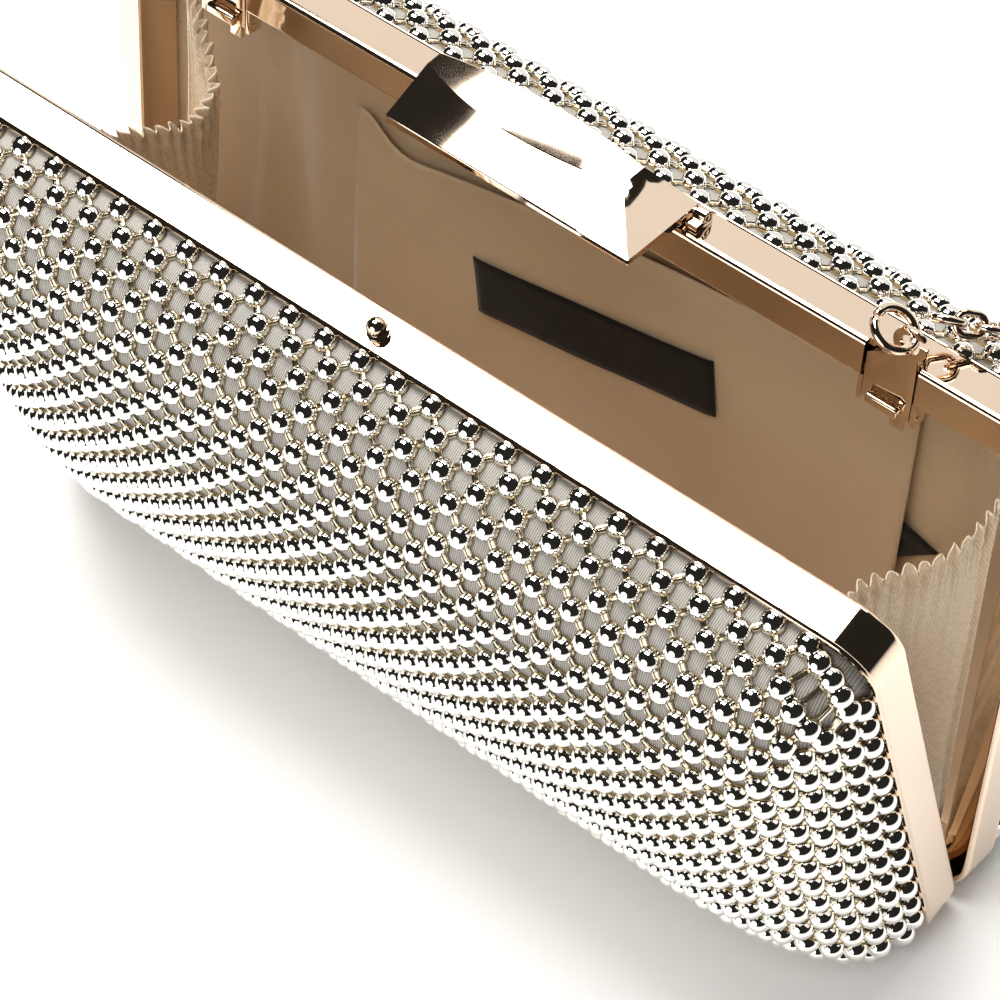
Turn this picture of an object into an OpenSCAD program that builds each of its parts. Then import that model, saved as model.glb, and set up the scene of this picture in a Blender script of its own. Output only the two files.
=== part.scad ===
// Beaded box clutch, standing open on its two bulging halves.
// Back half is fixed, front half turns on the hinge line along the bottom.

/* [Bag body] */
// Width of the closed frames, side to side
bag_w = 190; // [150:1:240]
// Height of one frame, from the hinge line to its top
frame_h = 106; // [90:1:140]
// Depth of one frame band
band_d = 8; // [6:0.5:12]
// Metal thickness of the frames
wall = 1.2; // [0.8:0.1:1.6]
// Outer corner radius of the frames
corner_r = 8; // [6:0.5:14]
// How far each beaded half bulges from the mating plane
bulge = 34; // [26:1:44]
// Angle each half leans away from upright
tilt = 10.25; // [0:0.25:14]

/* [Clasp] */
// Half length of the clasp bar
clasp_half = 24.2; // [18:0.1:32]
// Height of the clasp bar's top facet above the frame
clasp_h = 7.2; // [5:0.1:10]
// How far the clasp bar reaches forward of the mating plane
clasp_reach = 14.2; // [12:0.1:16]
// Angle the clasp bar stands above its latched position
clasp_lift = 9.6; // [8:0.1:12]
// Radius of the ball stud
ball_r = 1.9; // [1.2:0.1:2]

/* [Chain hooks] */
// Position of the right hook from the middle
hook_x_right = 65; // [50:1:75]
// Position of the left hook from the middle
hook_x_left = -70; // [-75:1:-50]
// Width of a hook plate
hook_w = 8.8; // [6:0.1:10]
// Mean radius of the ring on a hook
ring_mid = 3.95; // [3:0.05:5]
// Wire radius of the ring
ring_wire = 0.75; // [0.5:0.05:1]
// Diameter of the shoulder chain
chain_d = 5; // [4:0.1:6]

/* [Hinge] */
// Radius of the long hinge pin
pin_r = 0.8; // [0.6:0.05:1]
// Outer radius of the hinge knuckles
knuckle_r = 1.6; // [1.3:0.05:1.8]

/* [Hidden] */
hinge_z = 1.66;
half_w = bag_w / 2;
mid_v = frame_h / 2;
rim_gap = 0.05;
open_w = half_w - 5.4;
open_bottom = 4;
open_top = frame_h - 7;
open_r = 5;
inner_depth = 9;
fine = 48;
axis_v = frame_h - 10.4;
axis_w = 1.5;
clasp_axis_w = 4.3;
clasp_axis_v = frame_h + 1.5;
// route of the chain from the right ring to the hank on the floor
route_right = [
  [67.8, 26.2, 110.2], [70.5, 28.4, 108.8], [74, 32, 106.6], [78, 36.5, 103.6], [81.5, 41, 98.5],
  [84, 44.6, 91], [85, 46, 80], [85, 46, 66], [85, 46, 52], [85, 46.2, 38], [84.5, 46.8, 24],
  [82.5, 48.4, 11.5], [77.5, 51.5, 4.4], [69.5, 55, 2.8], [58, 58, 2.8], [44, 59.5, 3.2], [28, 59.5, 3.3]
];
// route of the chain from the left ring to the hank on the floor
route_left = [
  [-72, 27.6, 109.4], [-73.6, 29.2, 108.4], [-76, 32, 106.6], [-79.5, 36.5, 103.6], [-82.5, 41, 98.5],
  [-84.5, 44.6, 91], [-85, 46, 80], [-85, 46, 66], [-85, 46, 52], [-85, 46.2, 38], [-84.5, 47, 24],
  [-82.5, 49.4, 11.5], [-78, 53, 4.4], [-71, 56.6, 3.4], [-62, 59, 5], [-52, 59.5, 7.4]
];
hank_at = [-12, 47];
hank_run = 35;
hank_r = 10;
hank_half = 5;
hank_z0 = 0.7;
hank_z1 = 10.3;
steel = [0.85, 0.72, 0.6];
silver = [0.8, 0.8, 0.78];
satin = [0.88, 0.82, 0.72];

// ---------- placing ----------

module back_half() {
  translate([0, 0, hinge_z]) rotate([-tilt, 0, 0]) children();
}

module front_half() {
  mirror([0, 1, 0]) back_half() children();
}

module slab(y0, y1) {
  translate([0, y1, 0]) rotate([90, 0, 0]) linear_extrude(y1 - y0) children();
}

module along_x(x0, x1, y, z, r) {
  translate([x0, y, z]) rotate([0, 90, 0]) cylinder(r = r, h = x1 - x0, $fn = fine);
}

module upright(x, y, z0, z1, r) {
  translate([x, y, z0]) cylinder(r = r, h = z1 - z0, $fn = fine);
}

module block(x0, x1, y0, y1, z0, z1) {
  translate([x0, y0, z0]) cube([x1 - x0, y1 - y0, z1 - z0]);
}

// ---------- frames ----------

module round_rect(x0, x1, z0, z1, r) {
  translate([x0 + r, z0]) square([x1 - x0 - 2 * r, z1 - z0]);
  translate([x0, z0 + r]) square([x1 - x0, z1 - z0 - 2 * r]);
  for (x = [x0 + r, x1 - r], z = [z0 + r, z1 - r])
    translate([x, z]) circle(r = r, $fn = fine);
}

module frame_outline(inset) {
  round_rect(-half_w + inset, half_w - inset, inset, frame_h - inset, corner_r - inset);
}

module opening_outline(grow) {
  round_rect(-open_w - grow, open_w + grow, open_bottom - grow, open_top + grow, open_r + grow);
}

module channel_frame() {
  slab(rim_gap, band_d) difference() {
    frame_outline(0);
    frame_outline(wall);
  }
  slab(rim_gap, rim_gap + wall) difference() {
    frame_outline(0);
    opening_outline(0);
  }
  slab(rim_gap, inner_depth) difference() {
    opening_outline(wall);
    opening_outline(0);
  }
}

module rivet_places() {
  for (x = [-48, -24, 24, 48]) translate([x, 4, 0]) children();
}

module hook_notch(x) {
  block(x - 4.9, x + 4.9, -1, 1.35, axis_v + 3.3, frame_h + 1);
}

module drilled_frame() {
  difference() {
    channel_frame();
    along_x(-61, 61, 0, 0, knuckle_r + 0.3);
    rivet_places() cylinder(r = 0.8, h = 4, center = true, $fn = fine);
  }
}

module back_frame() {
  color(steel) back_half() difference() {
    drilled_frame();
    hook_notch(hook_x_right);
    hook_notch(hook_x_left);
  }
}

module front_frame() {
  color(steel) front_half() drilled_frame();
}

// ---------- bulging layers ----------

function corner(q) = [[1, 1], [-1, 1], [-1, -1], [1, -1]][q];

function ring_pts(a, b, r, vc, w, n) = [
  for (q = [0:3], m = [0:n])
    let (t = 90 * q + 90 * m / n)
      [corner(q)[0] * (a - r) + r * cos(t), w, vc + corner(q)[1] * (b - r) + r * sin(t)]
];

function bulge_ring(a, b, vc, w0, w1, t, n) =
  let (c = pow(cos(t), 0.87), s = pow(sin(t), 0.87), bk = max(b * c, 1))
    ring_pts(a - 35 * (1 - c), bk, min(bk - 0.2, 8 * c + 20 * (1 - c)), vc, w0 + (w1 - w0) * s, n);

function bulge_pts(a, b, vc, w0, w1, steps, n) = [
  for (t = steps) each bulge_ring(a, b, vc, w0, w1, t, n)
];

// closed skin between an outer and an inner bulge, both from the rim to the top
module bulge_skin(ao, bo, ai, bi, vo, vi, w0, wo, wi, steps, n) {
  k = len(steps);
  c = 4 * (n + 1);
  outer = bulge_pts(ao, bo, vo, w0, wo, steps, n);
  inner = bulge_pts(ai, bi, vi, w0, wi, steps, n);
  base = k * c;
  polyhedron(
    points = concat(outer, inner),
    faces = [
      for (j = [0:k - 2], i = [0:c - 1]) each [
        [j * c + i, j * c + (i + 1) % c, (j + 1) * c + i],
        [j * c + (i + 1) % c, (j + 1) * c + (i + 1) % c, (j + 1) * c + i],
        [base + j * c + i, base + (j + 1) * c + i, base + j * c + (i + 1) % c],
        [base + j * c + (i + 1) % c, base + (j + 1) * c + i, base + (j + 1) * c + (i + 1) % c]
      ],
      for (i = [0:c - 1]) each [
        [i, base + i, (i + 1) % c],
        [(i + 1) % c, base + i, base + (i + 1) % c]
      ],
      for (i = [1:c - 2]) [(k - 1) * c, (k - 1) * c + i, (k - 1) * c + i + 1],
      for (i = [1:c - 2]) [base + (k - 1) * c, base + (k - 1) * c + i + 1, base + (k - 1) * c + i]
    ]
  );
}

ring_steps = [0, 10, 22, 34, 46, 58, 70, 80, 87];
lining_steps = [0, 18, 38, 60, 78, 87];

module bead_mesh() {
  bulge_skin(half_w - 0.6, mid_v - 0.6, half_w - 1.1, mid_v - 1.1, mid_v, mid_v,
    band_d, bulge, bulge - 2.4, ring_steps, 6);
}

module satin_layer() {
  bulge_skin(half_w - 1.2, mid_v - 1.2, half_w - 1.5, mid_v - 1.5, mid_v, mid_v,
    band_d, bulge - 2.5, bulge - 3, ring_steps, 6);
}

module shell_layer() {
  bulge_skin(half_w - 1.6, mid_v - 1.6, half_w - 2.5, mid_v - 2.5, mid_v, mid_v,
    band_d, bulge - 3.1, bulge - 4.3, ring_steps, 6);
}

module lining_layer() {
  bulge_skin(open_w + 1, 48.3, open_w + 0.4, 47.7, 51.5, 51.5,
    inner_depth, 15.6, 15, lining_steps, 5);
}

module back_shell() {
  color(satin) back_half() shell_layer();
}

module back_satin() {
  color(silver) back_half() satin_layer();
}

module back_bead_mesh() {
  color(silver) back_half() bead_mesh();
}

module back_lining() {
  color(satin) back_half() lining_layer();
}

module front_shell() {
  color(satin) front_half() shell_layer();
}

module front_satin() {
  color(silver) front_half() satin_layer();
}

module front_bead_mesh() {
  color(silver) front_half() bead_mesh();
}

module front_lining() {
  color(satin) front_half() lining_layer();
}

// ---------- pocket, label and tab on the back lining ----------

module slip_pocket() {
  color(satin) back_half() slab(12.2, 12.8)
    polygon([[-52, 16], [60, 16], [60, 86], [55, 87], [23, 86.2], [-14, 84.8], [-50, 76], [-52, 74]]);
}

module woven_label() {
  color([0.08, 0.08, 0.08]) back_half() slab(11.9, 12.2)
    polygon([[-22.2, 51.2], [28, 59.6], [26.1, 70.8], [-24.1, 62.4]]);
}

module dark_tab() {
  color([0.08, 0.08, 0.08]) back_half() slab(11.9, 12.5)
    polygon([[61, 54], [69, 58], [73, 61], [68, 63.5], [61, 62]]);
}

// ---------- bottom hinge ----------

module knuckle(x0, x1) {
  along_x(x0, x1, 0, 0, knuckle_r);
  block(x0, x1, 0, 2.5, -0.6, -0.02);
}

module hinge_leaf(spans) {
  difference() {
    union() {
      block(-60, 60, 2.2, 6, -0.6, -0.02);
      for (s = spans) knuckle(s[0], s[1]);
    }
    along_x(-62, 62, 0, 0, pin_r + 0.05);
    rivet_places() cylinder(r = 0.8, h = 4, center = true, $fn = fine);
  }
}

module rivets() {
  rivet_places() {
    translate([0, 0, -0.6]) cylinder(r = 0.75, h = 1.9, $fn = fine);
    translate([0, 0, wall]) cylinder(r = 1.2, h = 0.3, $fn = fine);
  }
}

module back_hinge_leaf() {
  color(steel) back_half() hinge_leaf([[-60, -36.3], [-12, 11.7], [36, 60]]);
}

module front_hinge_leaf() {
  color(steel) front_half() hinge_leaf([[-36, -12.3], [12, 35.7]]);
}

module back_rivets() {
  color(steel) back_half() rivets();
}

module front_rivets() {
  color(steel) front_half() rivets();
}

module hinge_pin() {
  color(steel) translate([0, 0, hinge_z]) along_x(-61, 61, 0, 0, pin_r);
}

// ---------- ball stud and clasp ----------

module ball_stud() {
  color(steel) front_half() translate([0, 4.2, frame_h]) {
    cylinder(r = 1.8, h = 0.5, $fn = fine);
    cylinder(r = 1.1, h = 1.4, $fn = fine);
    translate([0, 0, 3.2 - ball_r * 0.85]) difference() {
      sphere(r = ball_r * 0.85, $fn = fine);
      translate([-3, -3, -6 - ball_r * 0.55]) cube(6);
    }
  }
}

function clasp_station(x, lean, f, r, top) = [
  [x + lean, -clasp_reach, frame_h + 3.35], [x + lean, -clasp_reach, frame_h + 4.85], [x, f, frame_h + top],
  [x, r, frame_h + top], [x, 5.6, frame_h + 1.7], [x, 4.3, frame_h + 0.2]
];

module clasp_body() {
  s = [
    clasp_station(-clasp_half, 1.6, -2.5, 0.7, clasp_h),
    clasp_station(-5, 1.6, -6.5, 2.9, clasp_h),
    clasp_station(16.2, 1.6, -3.7, 1.25, clasp_h),
    clasp_station(clasp_half, 1.6, -4.5, 5.5, 2.35)
  ];
  polyhedron(
    points = [for (p = s) each p],
    faces = concat(
      [[0, 1, 2], [0, 2, 3], [0, 3, 5], [3, 4, 5]],
      [for (j = [0:2], i = [0:5]) each [
        [6 * j + i, 6 * j + 6 + i, 6 * j + (i + 1) % 6],
        [6 * j + 6 + i, 6 * j + 6 + (i + 1) % 6, 6 * j + (i + 1) % 6]
      ]],
      [[18, 20, 19], [18, 21, 20], [18, 23, 21], [21, 23, 22]]
    )
  );
}

module latched_place() {
  translate([0, clasp_axis_w, clasp_axis_v]) rotate([-clasp_lift, 0, 0])
    translate([0, -clasp_axis_w, -clasp_axis_v]) children();
}

module clasp_bar() {
  color(steel) back_half() difference() {
    clasp_body();
    along_x(-30, 30, clasp_axis_w, clasp_axis_v, 0.65);
    along_x(-4, 4, clasp_axis_w, clasp_axis_v, 1.25);
    block(-4, 4, clasp_axis_w - 1.25, clasp_axis_w + 1.25, frame_h, clasp_axis_v);
    latched_place() upright(0, -4.2, frame_h, frame_h + 3.9, 2);
    block(-2, 2, -clasp_reach - 1, -4.2, frame_h, frame_h + 3.4);
  }
}

module clasp_brackets() {
  color(steel) back_half() for (x = [-27, 24.8]) difference() {
    union() {
      block(x, x + 2.2, 1.4, 5.6, frame_h, clasp_axis_v);
      along_x(x, x + 2.2, clasp_axis_w, clasp_axis_v, 1.3);
    }
    along_x(x - 1, x + 4, clasp_axis_w, clasp_axis_v, 0.62);
  }
}

module clasp_pin() {
  color(steel) back_half() along_x(-27, 27, clasp_axis_w, clasp_axis_v, 0.6);
}

module clasp_spring() {
  color(steel) back_half() difference() {
    along_x(-3.8, 3.8, clasp_axis_w, clasp_axis_v, 1.1);
    along_x(-5, 5, clasp_axis_w, clasp_axis_v, 0.7);
  }
}

// ---------- chain hooks ----------

module hook_plate(x) {
  difference() {
    union() {
      slab(0.3, 1.1) difference() {
        union() {
          translate([x - hook_w / 2, axis_v]) square([hook_w, 8.6]);
          polygon([[x - 4.4, axis_v + 8.6], [x - 2, axis_v + 10.4], [x + 0.2, axis_v + 10.6],
            [x + 0.6, axis_v + 12.6], [x + 4.2, axis_v + 12.6], [x + 4.4, axis_v + 8.6]]);
          translate([x + 2.5, frame_h + 4]) circle(r = 3, $fn = fine);
          translate([x + 1.2, axis_v - 3]) square([2.4, 3.2]);
        }
        translate([x + 2.5, frame_h + 4]) circle(r = 1.75, $fn = fine);
        translate([x + 2.5, frame_h + 4.6]) square([4, 1.2]);
        translate([x - 2.6, axis_v + 1.6]) square([5, 1.4]);
      }
      along_x(x - 4.4, x + 4.4, axis_w, axis_v, 1.2);
    }
    along_x(x - 6, x + 6, axis_w, axis_v, 0.55);
  }
}

module hook_bracket(x) {
  difference() {
    union() {
      block(x - 5.35, x + 5.35, 1.5, 8, open_top - 0.7, open_top);
      for (s = [x - 5.35, x + 4.55]) block(s, s + 0.8, 0.4, 3.4, 94.2, open_top);
    }
    along_x(x - 8, x + 8, axis_w, axis_v, 0.52);
  }
}

module hook_pin(x) {
  along_x(x - 5.5, x + 5.5, axis_w, axis_v, 0.5);
}

module hook_ring(x, side) {
  translate([x + 2.5 - side * 3.42, 0.7, frame_h + 3.3 + 1.975]) rotate([0, side * 30, 0])
    rotate_extrude($fn = fine) translate([ring_mid, 0]) circle(r = ring_wire, $fn = 20);
}

module hook_plate_right() {
  color(steel) back_half() hook_plate(hook_x_right);
}

module hook_bracket_right() {
  color(steel) back_half() hook_bracket(hook_x_right);
}

module hook_pin_right() {
  color(steel) back_half() hook_pin(hook_x_right);
}

module hook_ring_right() {
  color(steel) back_half() hook_ring(hook_x_right, 1);
}

module hook_plate_left() {
  color(steel) back_half() hook_plate(hook_x_left);
}

module hook_bracket_left() {
  color(steel) back_half() hook_bracket(hook_x_left);
}

module hook_pin_left() {
  color(steel) back_half() hook_pin(hook_x_left);
}

module hook_ring_left() {
  color(steel) back_half() hook_ring(hook_x_left, 1);
}

// ---------- gussets with gathered elastic edges ----------

// a line across the opening from the back edge to the front edge, drawn in and down at the middle
function gusset_line(s, z, sag, dip) =
  let (v = (z - hinge_z) / cos(tilt), y = v * sin(tilt) + 0.9)
    [[s * 87.6, y, z], [s * (87.2 - sag * 0.5), y * 0.45, z - dip * 0.85],
      [s * (87 - sag), 0, z - dip], [s * (87.2 - sag * 0.5), -y * 0.45, z - dip * 0.85],
      [s * 87.6, -y, z]];

module gusset(s) {
  rows = [gusset_line(s, 12, 1, 0.2), gusset_line(s, 34, 4, 2), gusset_line(s, 58, 8, 5),
    gusset_line(s, 82.3, 11, 8.5)];
  a = [for (r = rows) each r];
  b = [for (p = a) [p[0] + s * 0.8, p[1], p[2]]];
  pts = s > 0 ? concat(a, b) : concat(b, a);
  polyhedron(
    points = pts,
    faces = [
      for (j = [0:2], i = [0:3]) each [
        [5 * j + i, 5 * j + i + 1, 5 * j + 5 + i],
        [5 * j + i + 1, 5 * j + 6 + i, 5 * j + 5 + i],
        [20 + 5 * j + i, 25 + 5 * j + i, 21 + 5 * j + i],
        [21 + 5 * j + i, 25 + 5 * j + i, 26 + 5 * j + i]
      ],
      for (i = [0:3]) each [
        [i, 20 + i, i + 1], [i + 1, 20 + i, 21 + i],
        [15 + i, 16 + i, 35 + i], [16 + i, 36 + i, 35 + i]
      ],
      for (j = [0:2]) each [
        [5 * j, 5 * j + 5, 5 * j + 20], [5 * j + 5, 5 * j + 25, 5 * j + 20],
        [5 * j + 4, 5 * j + 24, 5 * j + 9], [5 * j + 9, 5 * j + 24, 5 * j + 29]
      ]
    ]
  );
}

// ---------- swept tubes ----------

function unit(v) = v / norm(v);

function tangents(p) = [
  for (i = [0:len(p) - 1]) unit(p[min(i + 1, len(p) - 1)] - p[max(i - 1, 0)])
];

function carry(n, t) = unit(n - t * (n * t));

function normals(t, i, n) =
  i == len(t) ? [] : let (m = carry(n, t[i])) concat([m], normals(t, i + 1, m));

module tube(p, r, sides) {
  t = tangents(p);
  n = normals(t, 0, abs(t[0][0]) < 0.8 ? [1, 0, 0] : [0, 1, 0]);
  k = len(p);
  pts = [
    for (i = [0:k - 1], a = [0:sides - 1])
      let (q = 360 * a / sides) p[i] + r * cos(q) * n[i] + r * sin(q) * cross(t[i], n[i])
  ];
  polyhedron(
    points = pts,
    faces = concat(
      [[for (a = [0:sides - 1]) a]],
      [for (i = [0:k - 2], a = [0:sides - 1]) let (b = (a + 1) % sides) each [
        [i * sides + a, (i + 1) * sides + a, i * sides + b],
        [i * sides + b, (i + 1) * sides + a, (i + 1) * sides + b]
      ]],
      [[for (a = [sides - 1:-1:0]) (k - 1) * sides + a]]
    )
  );
}

function edge_route(s) = [
  [s * 86.2, 16.2, 87.6], [s * 85, 12.8, 83], [s * 83.2, 9.6, 80], [s * 80.4, 6.4, 78], [s * 77.2, 3, 77],
  [s * 76, 0, 76.8], [s * 77.2, -3, 77], [s * 80.4, -6.4, 78], [s * 83.2, -9.6, 80], [s * 85, -12.8, 83],
  [s * 86.2, -16.2, 87.6]
];

module gusset_right() {
  color(satin) gusset(1);
}

module gusset_left() {
  color(satin) gusset(-1);
}

module elastic_edge_right() {
  color(satin) tube(edge_route(1), 1.4, 8);
}

module elastic_edge_left() {
  color(satin) tube(edge_route(-1), 1.4, 8);
}

module chain_right() {
  color(steel) tube(route_right, chain_d / 2, 8);
}

module chain_left() {
  color(steel) tube(route_left, chain_d / 2, 8);
}

module hank_outline(r) {
  translate([-hank_run, -r]) square([2 * hank_run, 2 * r]);
  for (x = [-hank_run, hank_run]) translate([x, 0]) circle(r = r, $fn = fine);
}

module chain_hank() {
  color(steel) translate([hank_at[0], hank_at[1], hank_z0]) linear_extrude(hank_z1 - hank_z0)
    difference() {
      hank_outline(hank_r + hank_half);
      hank_outline(hank_r - hank_half);
    }
}

module chain_tie() {
  r = hank_r + hank_half;
  color([0.08, 0.08, 0.08]) translate([hank_at[0], hank_at[1], 0]) difference() {
    block(-3, 3, -r - 0.7, r + 0.7, 0, hank_z1 + 0.7);
    block(-4, 4, -r, r, hank_z0, hank_z1);
  }
}

// ---------- nodes ----------

back_frame();
back_shell();
back_satin();
back_bead_mesh();
back_lining();
slip_pocket();
woven_label();
dark_tab();
back_hinge_leaf();
back_rivets();
hinge_pin();
front_frame();
front_shell();
front_satin();
front_bead_mesh();
front_lining();
ball_stud();
front_hinge_leaf();
front_rivets();
clasp_bar();
clasp_brackets();
clasp_pin();
clasp_spring();
hook_plate_right();
hook_bracket_right();
hook_pin_right();
hook_ring_right();
hook_plate_left();
hook_bracket_left();
hook_pin_left();
hook_ring_left();
gusset_right();
gusset_left();
elastic_edge_right();
elastic_edge_left();
chain_right();
chain_hank();
chain_tie();
chain_left();
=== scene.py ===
import bpy, bmesh, math
import numpy as np
from mathutils import Vector, Matrix

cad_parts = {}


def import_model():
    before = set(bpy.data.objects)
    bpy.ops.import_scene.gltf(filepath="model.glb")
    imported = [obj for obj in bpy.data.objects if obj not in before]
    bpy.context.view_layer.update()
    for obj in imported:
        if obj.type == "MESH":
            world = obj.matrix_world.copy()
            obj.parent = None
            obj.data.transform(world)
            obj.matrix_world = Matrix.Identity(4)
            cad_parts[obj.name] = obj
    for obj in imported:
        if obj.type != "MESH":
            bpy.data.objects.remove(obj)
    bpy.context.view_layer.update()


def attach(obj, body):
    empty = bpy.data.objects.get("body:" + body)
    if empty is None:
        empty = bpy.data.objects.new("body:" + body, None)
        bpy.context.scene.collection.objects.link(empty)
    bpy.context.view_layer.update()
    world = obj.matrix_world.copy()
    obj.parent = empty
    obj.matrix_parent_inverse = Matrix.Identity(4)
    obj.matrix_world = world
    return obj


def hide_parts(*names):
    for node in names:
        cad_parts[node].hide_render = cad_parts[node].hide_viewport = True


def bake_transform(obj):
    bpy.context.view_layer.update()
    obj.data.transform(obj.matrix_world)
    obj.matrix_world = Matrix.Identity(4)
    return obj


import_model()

MM = 0.001
TILT = math.radians(10.25)      # lean of each half from upright
HINGE_Z = 1.66                  # hinge pin above the floor
HALF_W = 95.0                   # half of the frame's width
H = 106.0                       # height of a half above the hinge
HOOK_X = {"right": 65.0, "left": -70.0}
RNG = np.random.default_rng(7)


# ---------- camera ----------

def camera():
    """Long lens at the photo's viewing angle. Its axes and place are those of the fit to the photo."""
    data = bpy.data.cameras.new("camera")
    data.lens = 135.32
    data.sensor_width = 36.0
    data.clip_start = 0.01
    obj = bpy.data.objects.new("camera", data)
    bpy.context.scene.collection.objects.link(obj)
    right = Vector((0.7652, 0.6400, -0.0694)).normalized()
    back = Vector((0.4175, -0.4113, 0.8103)).normalized()
    up = back.cross(right).normalized()
    right = up.cross(back)
    m = Matrix((right, up, back)).transposed().to_4x4()
    m.translation = Vector((0.2638, -0.2615, 0.5481 + HINGE_Z * MM))
    obj.matrix_world = m
    bpy.context.scene.camera = obj


camera()


# ---------- mesh helpers ----------

def world(p, side):
    """Half coordinates (x, depth from the mating plane, height above the hinge) in mm to metres."""
    p = np.asarray(p, float)
    x, w, v = p[:, 0], p[:, 1], p[:, 2]
    y = math.sin(TILT) * v + math.cos(TILT) * w
    z = HINGE_Z + math.cos(TILT) * v - math.sin(TILT) * w
    return np.stack([x, y if side == "back" else -y, z], 1) * MM


def make(name, verts, faces, mats, smooth=True, index=None, flip=False):
    if flip:
        faces = [tuple(reversed(f)) for f in faces]
    me = bpy.data.meshes.new(name)
    me.from_pydata([tuple(v) for v in np.asarray(verts, float)], [], [tuple(map(int, f)) for f in faces])
    for m in mats if isinstance(mats, (list, tuple)) else [mats]:
        me.materials.append(m)
    if index is not None:
        me.polygons.foreach_set("material_index", np.asarray(index, dtype=np.int32))
    me.polygons.foreach_set("use_smooth", np.full(len(me.polygons), smooth))
    me.update()
    ob = bpy.data.objects.new(name, me)
    bpy.context.scene.collection.objects.link(ob)
    return ob


def apply_mods(ob):
    dg = bpy.context.evaluated_depsgraph_get()
    dg.update()
    me = bpy.data.meshes.new_from_object(ob.evaluated_get(dg))
    ob.modifiers.clear()
    old = ob.data
    ob.data = me
    bpy.data.meshes.remove(old)


def even_normals(ob, merge=None):
    """Turn all faces outward, joining coincident points first if merge gives a distance."""
    bm = bmesh.new()
    bm.from_mesh(ob.data)
    if merge:
        bmesh.ops.remove_doubles(bm, verts=bm.verts, dist=merge)
    bmesh.ops.recalc_face_normals(bm, faces=bm.faces)
    bm.to_mesh(ob.data)
    bm.free()


def cut_away(ob, tool):
    """Subtract a tool solid from an object and remove the tool."""
    even_normals(tool)
    mod = ob.modifiers.new("cut", "BOOLEAN")
    mod.operation = "DIFFERENCE"
    mod.solver = "EXACT"
    mod.object = tool
    apply_mods(ob)
    data = tool.data
    bpy.data.objects.remove(tool)
    bpy.data.meshes.remove(data)


def bevel(ob, width, segments, degrees):
    """Round the edges that are sharper than the angle."""
    mod = ob.modifiers.new("bevel", "BEVEL")
    mod.width = width * MM
    mod.segments = segments
    mod.limit_method = "ANGLE"
    mod.angle_limit = math.radians(degrees)
    apply_mods(ob)


def sharp(ob, degrees=35):
    ob.data.polygons.foreach_set("use_smooth", np.full(len(ob.data.polygons), True))
    ob.data.set_sharp_from_angle(angle=math.radians(degrees))


def bevelled(node, mat, width):
    """A copy of a CAD node with rounded edges, standing for it."""
    bm = bmesh.new()
    bm.from_mesh(bpy.data.objects[node].data)
    bmesh.ops.remove_doubles(bm, verts=bm.verts, dist=1e-6)
    bmesh.ops.dissolve_limit(bm, angle_limit=math.radians(2), verts=bm.verts, edges=bm.edges)
    me = bpy.data.meshes.new(node + "_part")
    bm.to_mesh(me)
    bm.free()
    me.materials.clear()
    me.materials.append(mat)
    ob = bpy.data.objects.new(node + "_part", me)
    bpy.context.scene.collection.objects.link(ob)
    bevel(ob, width, 3, 30)
    sharp(ob, 40)
    return ob


def lathe(profile, segments=48):
    """Rings around +Z from (radius, height) points, closed at both ends on the axis."""
    verts, faces = [], []
    n = len(profile)
    for r, z in profile:
        for i in range(segments):
            a = 2 * math.pi * i / segments
            verts.append((r * math.cos(a), r * math.sin(a), z))
    for j in range(n - 1):
        for i in range(segments):
            k = (i + 1) % segments
            faces.append((j * segments + i, j * segments + k, (j + 1) * segments + k, (j + 1) * segments + i))
    faces.append(tuple(reversed(range(segments))))
    faces.append(tuple(range((n - 1) * segments, n * segments)))
    return np.array(verts), faces


def grid_faces(rows, cols, close_cols=False, start=0):
    out = []
    for j in range(rows - 1):
        for i in range(cols if close_cols else cols - 1):
            k = (i + 1) % cols
            out.append((start + j * cols + i, start + j * cols + k,
                        start + (j + 1) * cols + k, start + (j + 1) * cols + i))
    return out


def slab_faces(rows, cols):
    """Faces of a thin panel: a front grid, a back grid after it, and the four rims."""
    n = rows * cols
    grid = grid_faces(rows, cols)
    faces = grid + [tuple(n + k for k in reversed(f)) for f in grid]
    for i in range(cols - 1):
        faces.append((i + 1, i, n + i, n + i + 1))
        a = (rows - 1) * cols + i
        faces.append((a, a + 1, n + a + 1, n + a))
    for j in range(rows - 1):
        a, b = j * cols, (j + 1) * cols
        faces.append((a, b, n + b, n + a))
        a, b = a + cols - 1, b + cols - 1
        faces.append((b, a, n + a, n + b))
    return faces


def box_tool(low, high, side):
    """A plain box between two corners in half coordinates, to cut with."""
    pts = [(x, w, v) for v in (low[2], high[2]) for w in (low[1], high[1]) for x in (low[0], high[0])]
    faces = [(0, 2, 3, 1), (4, 5, 7, 6), (0, 1, 5, 4), (1, 3, 7, 5), (3, 2, 6, 7), (2, 0, 4, 6)]
    return make("cut", world(pts, side), faces, rose, smooth=False)


# ---------- materials ----------

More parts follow.
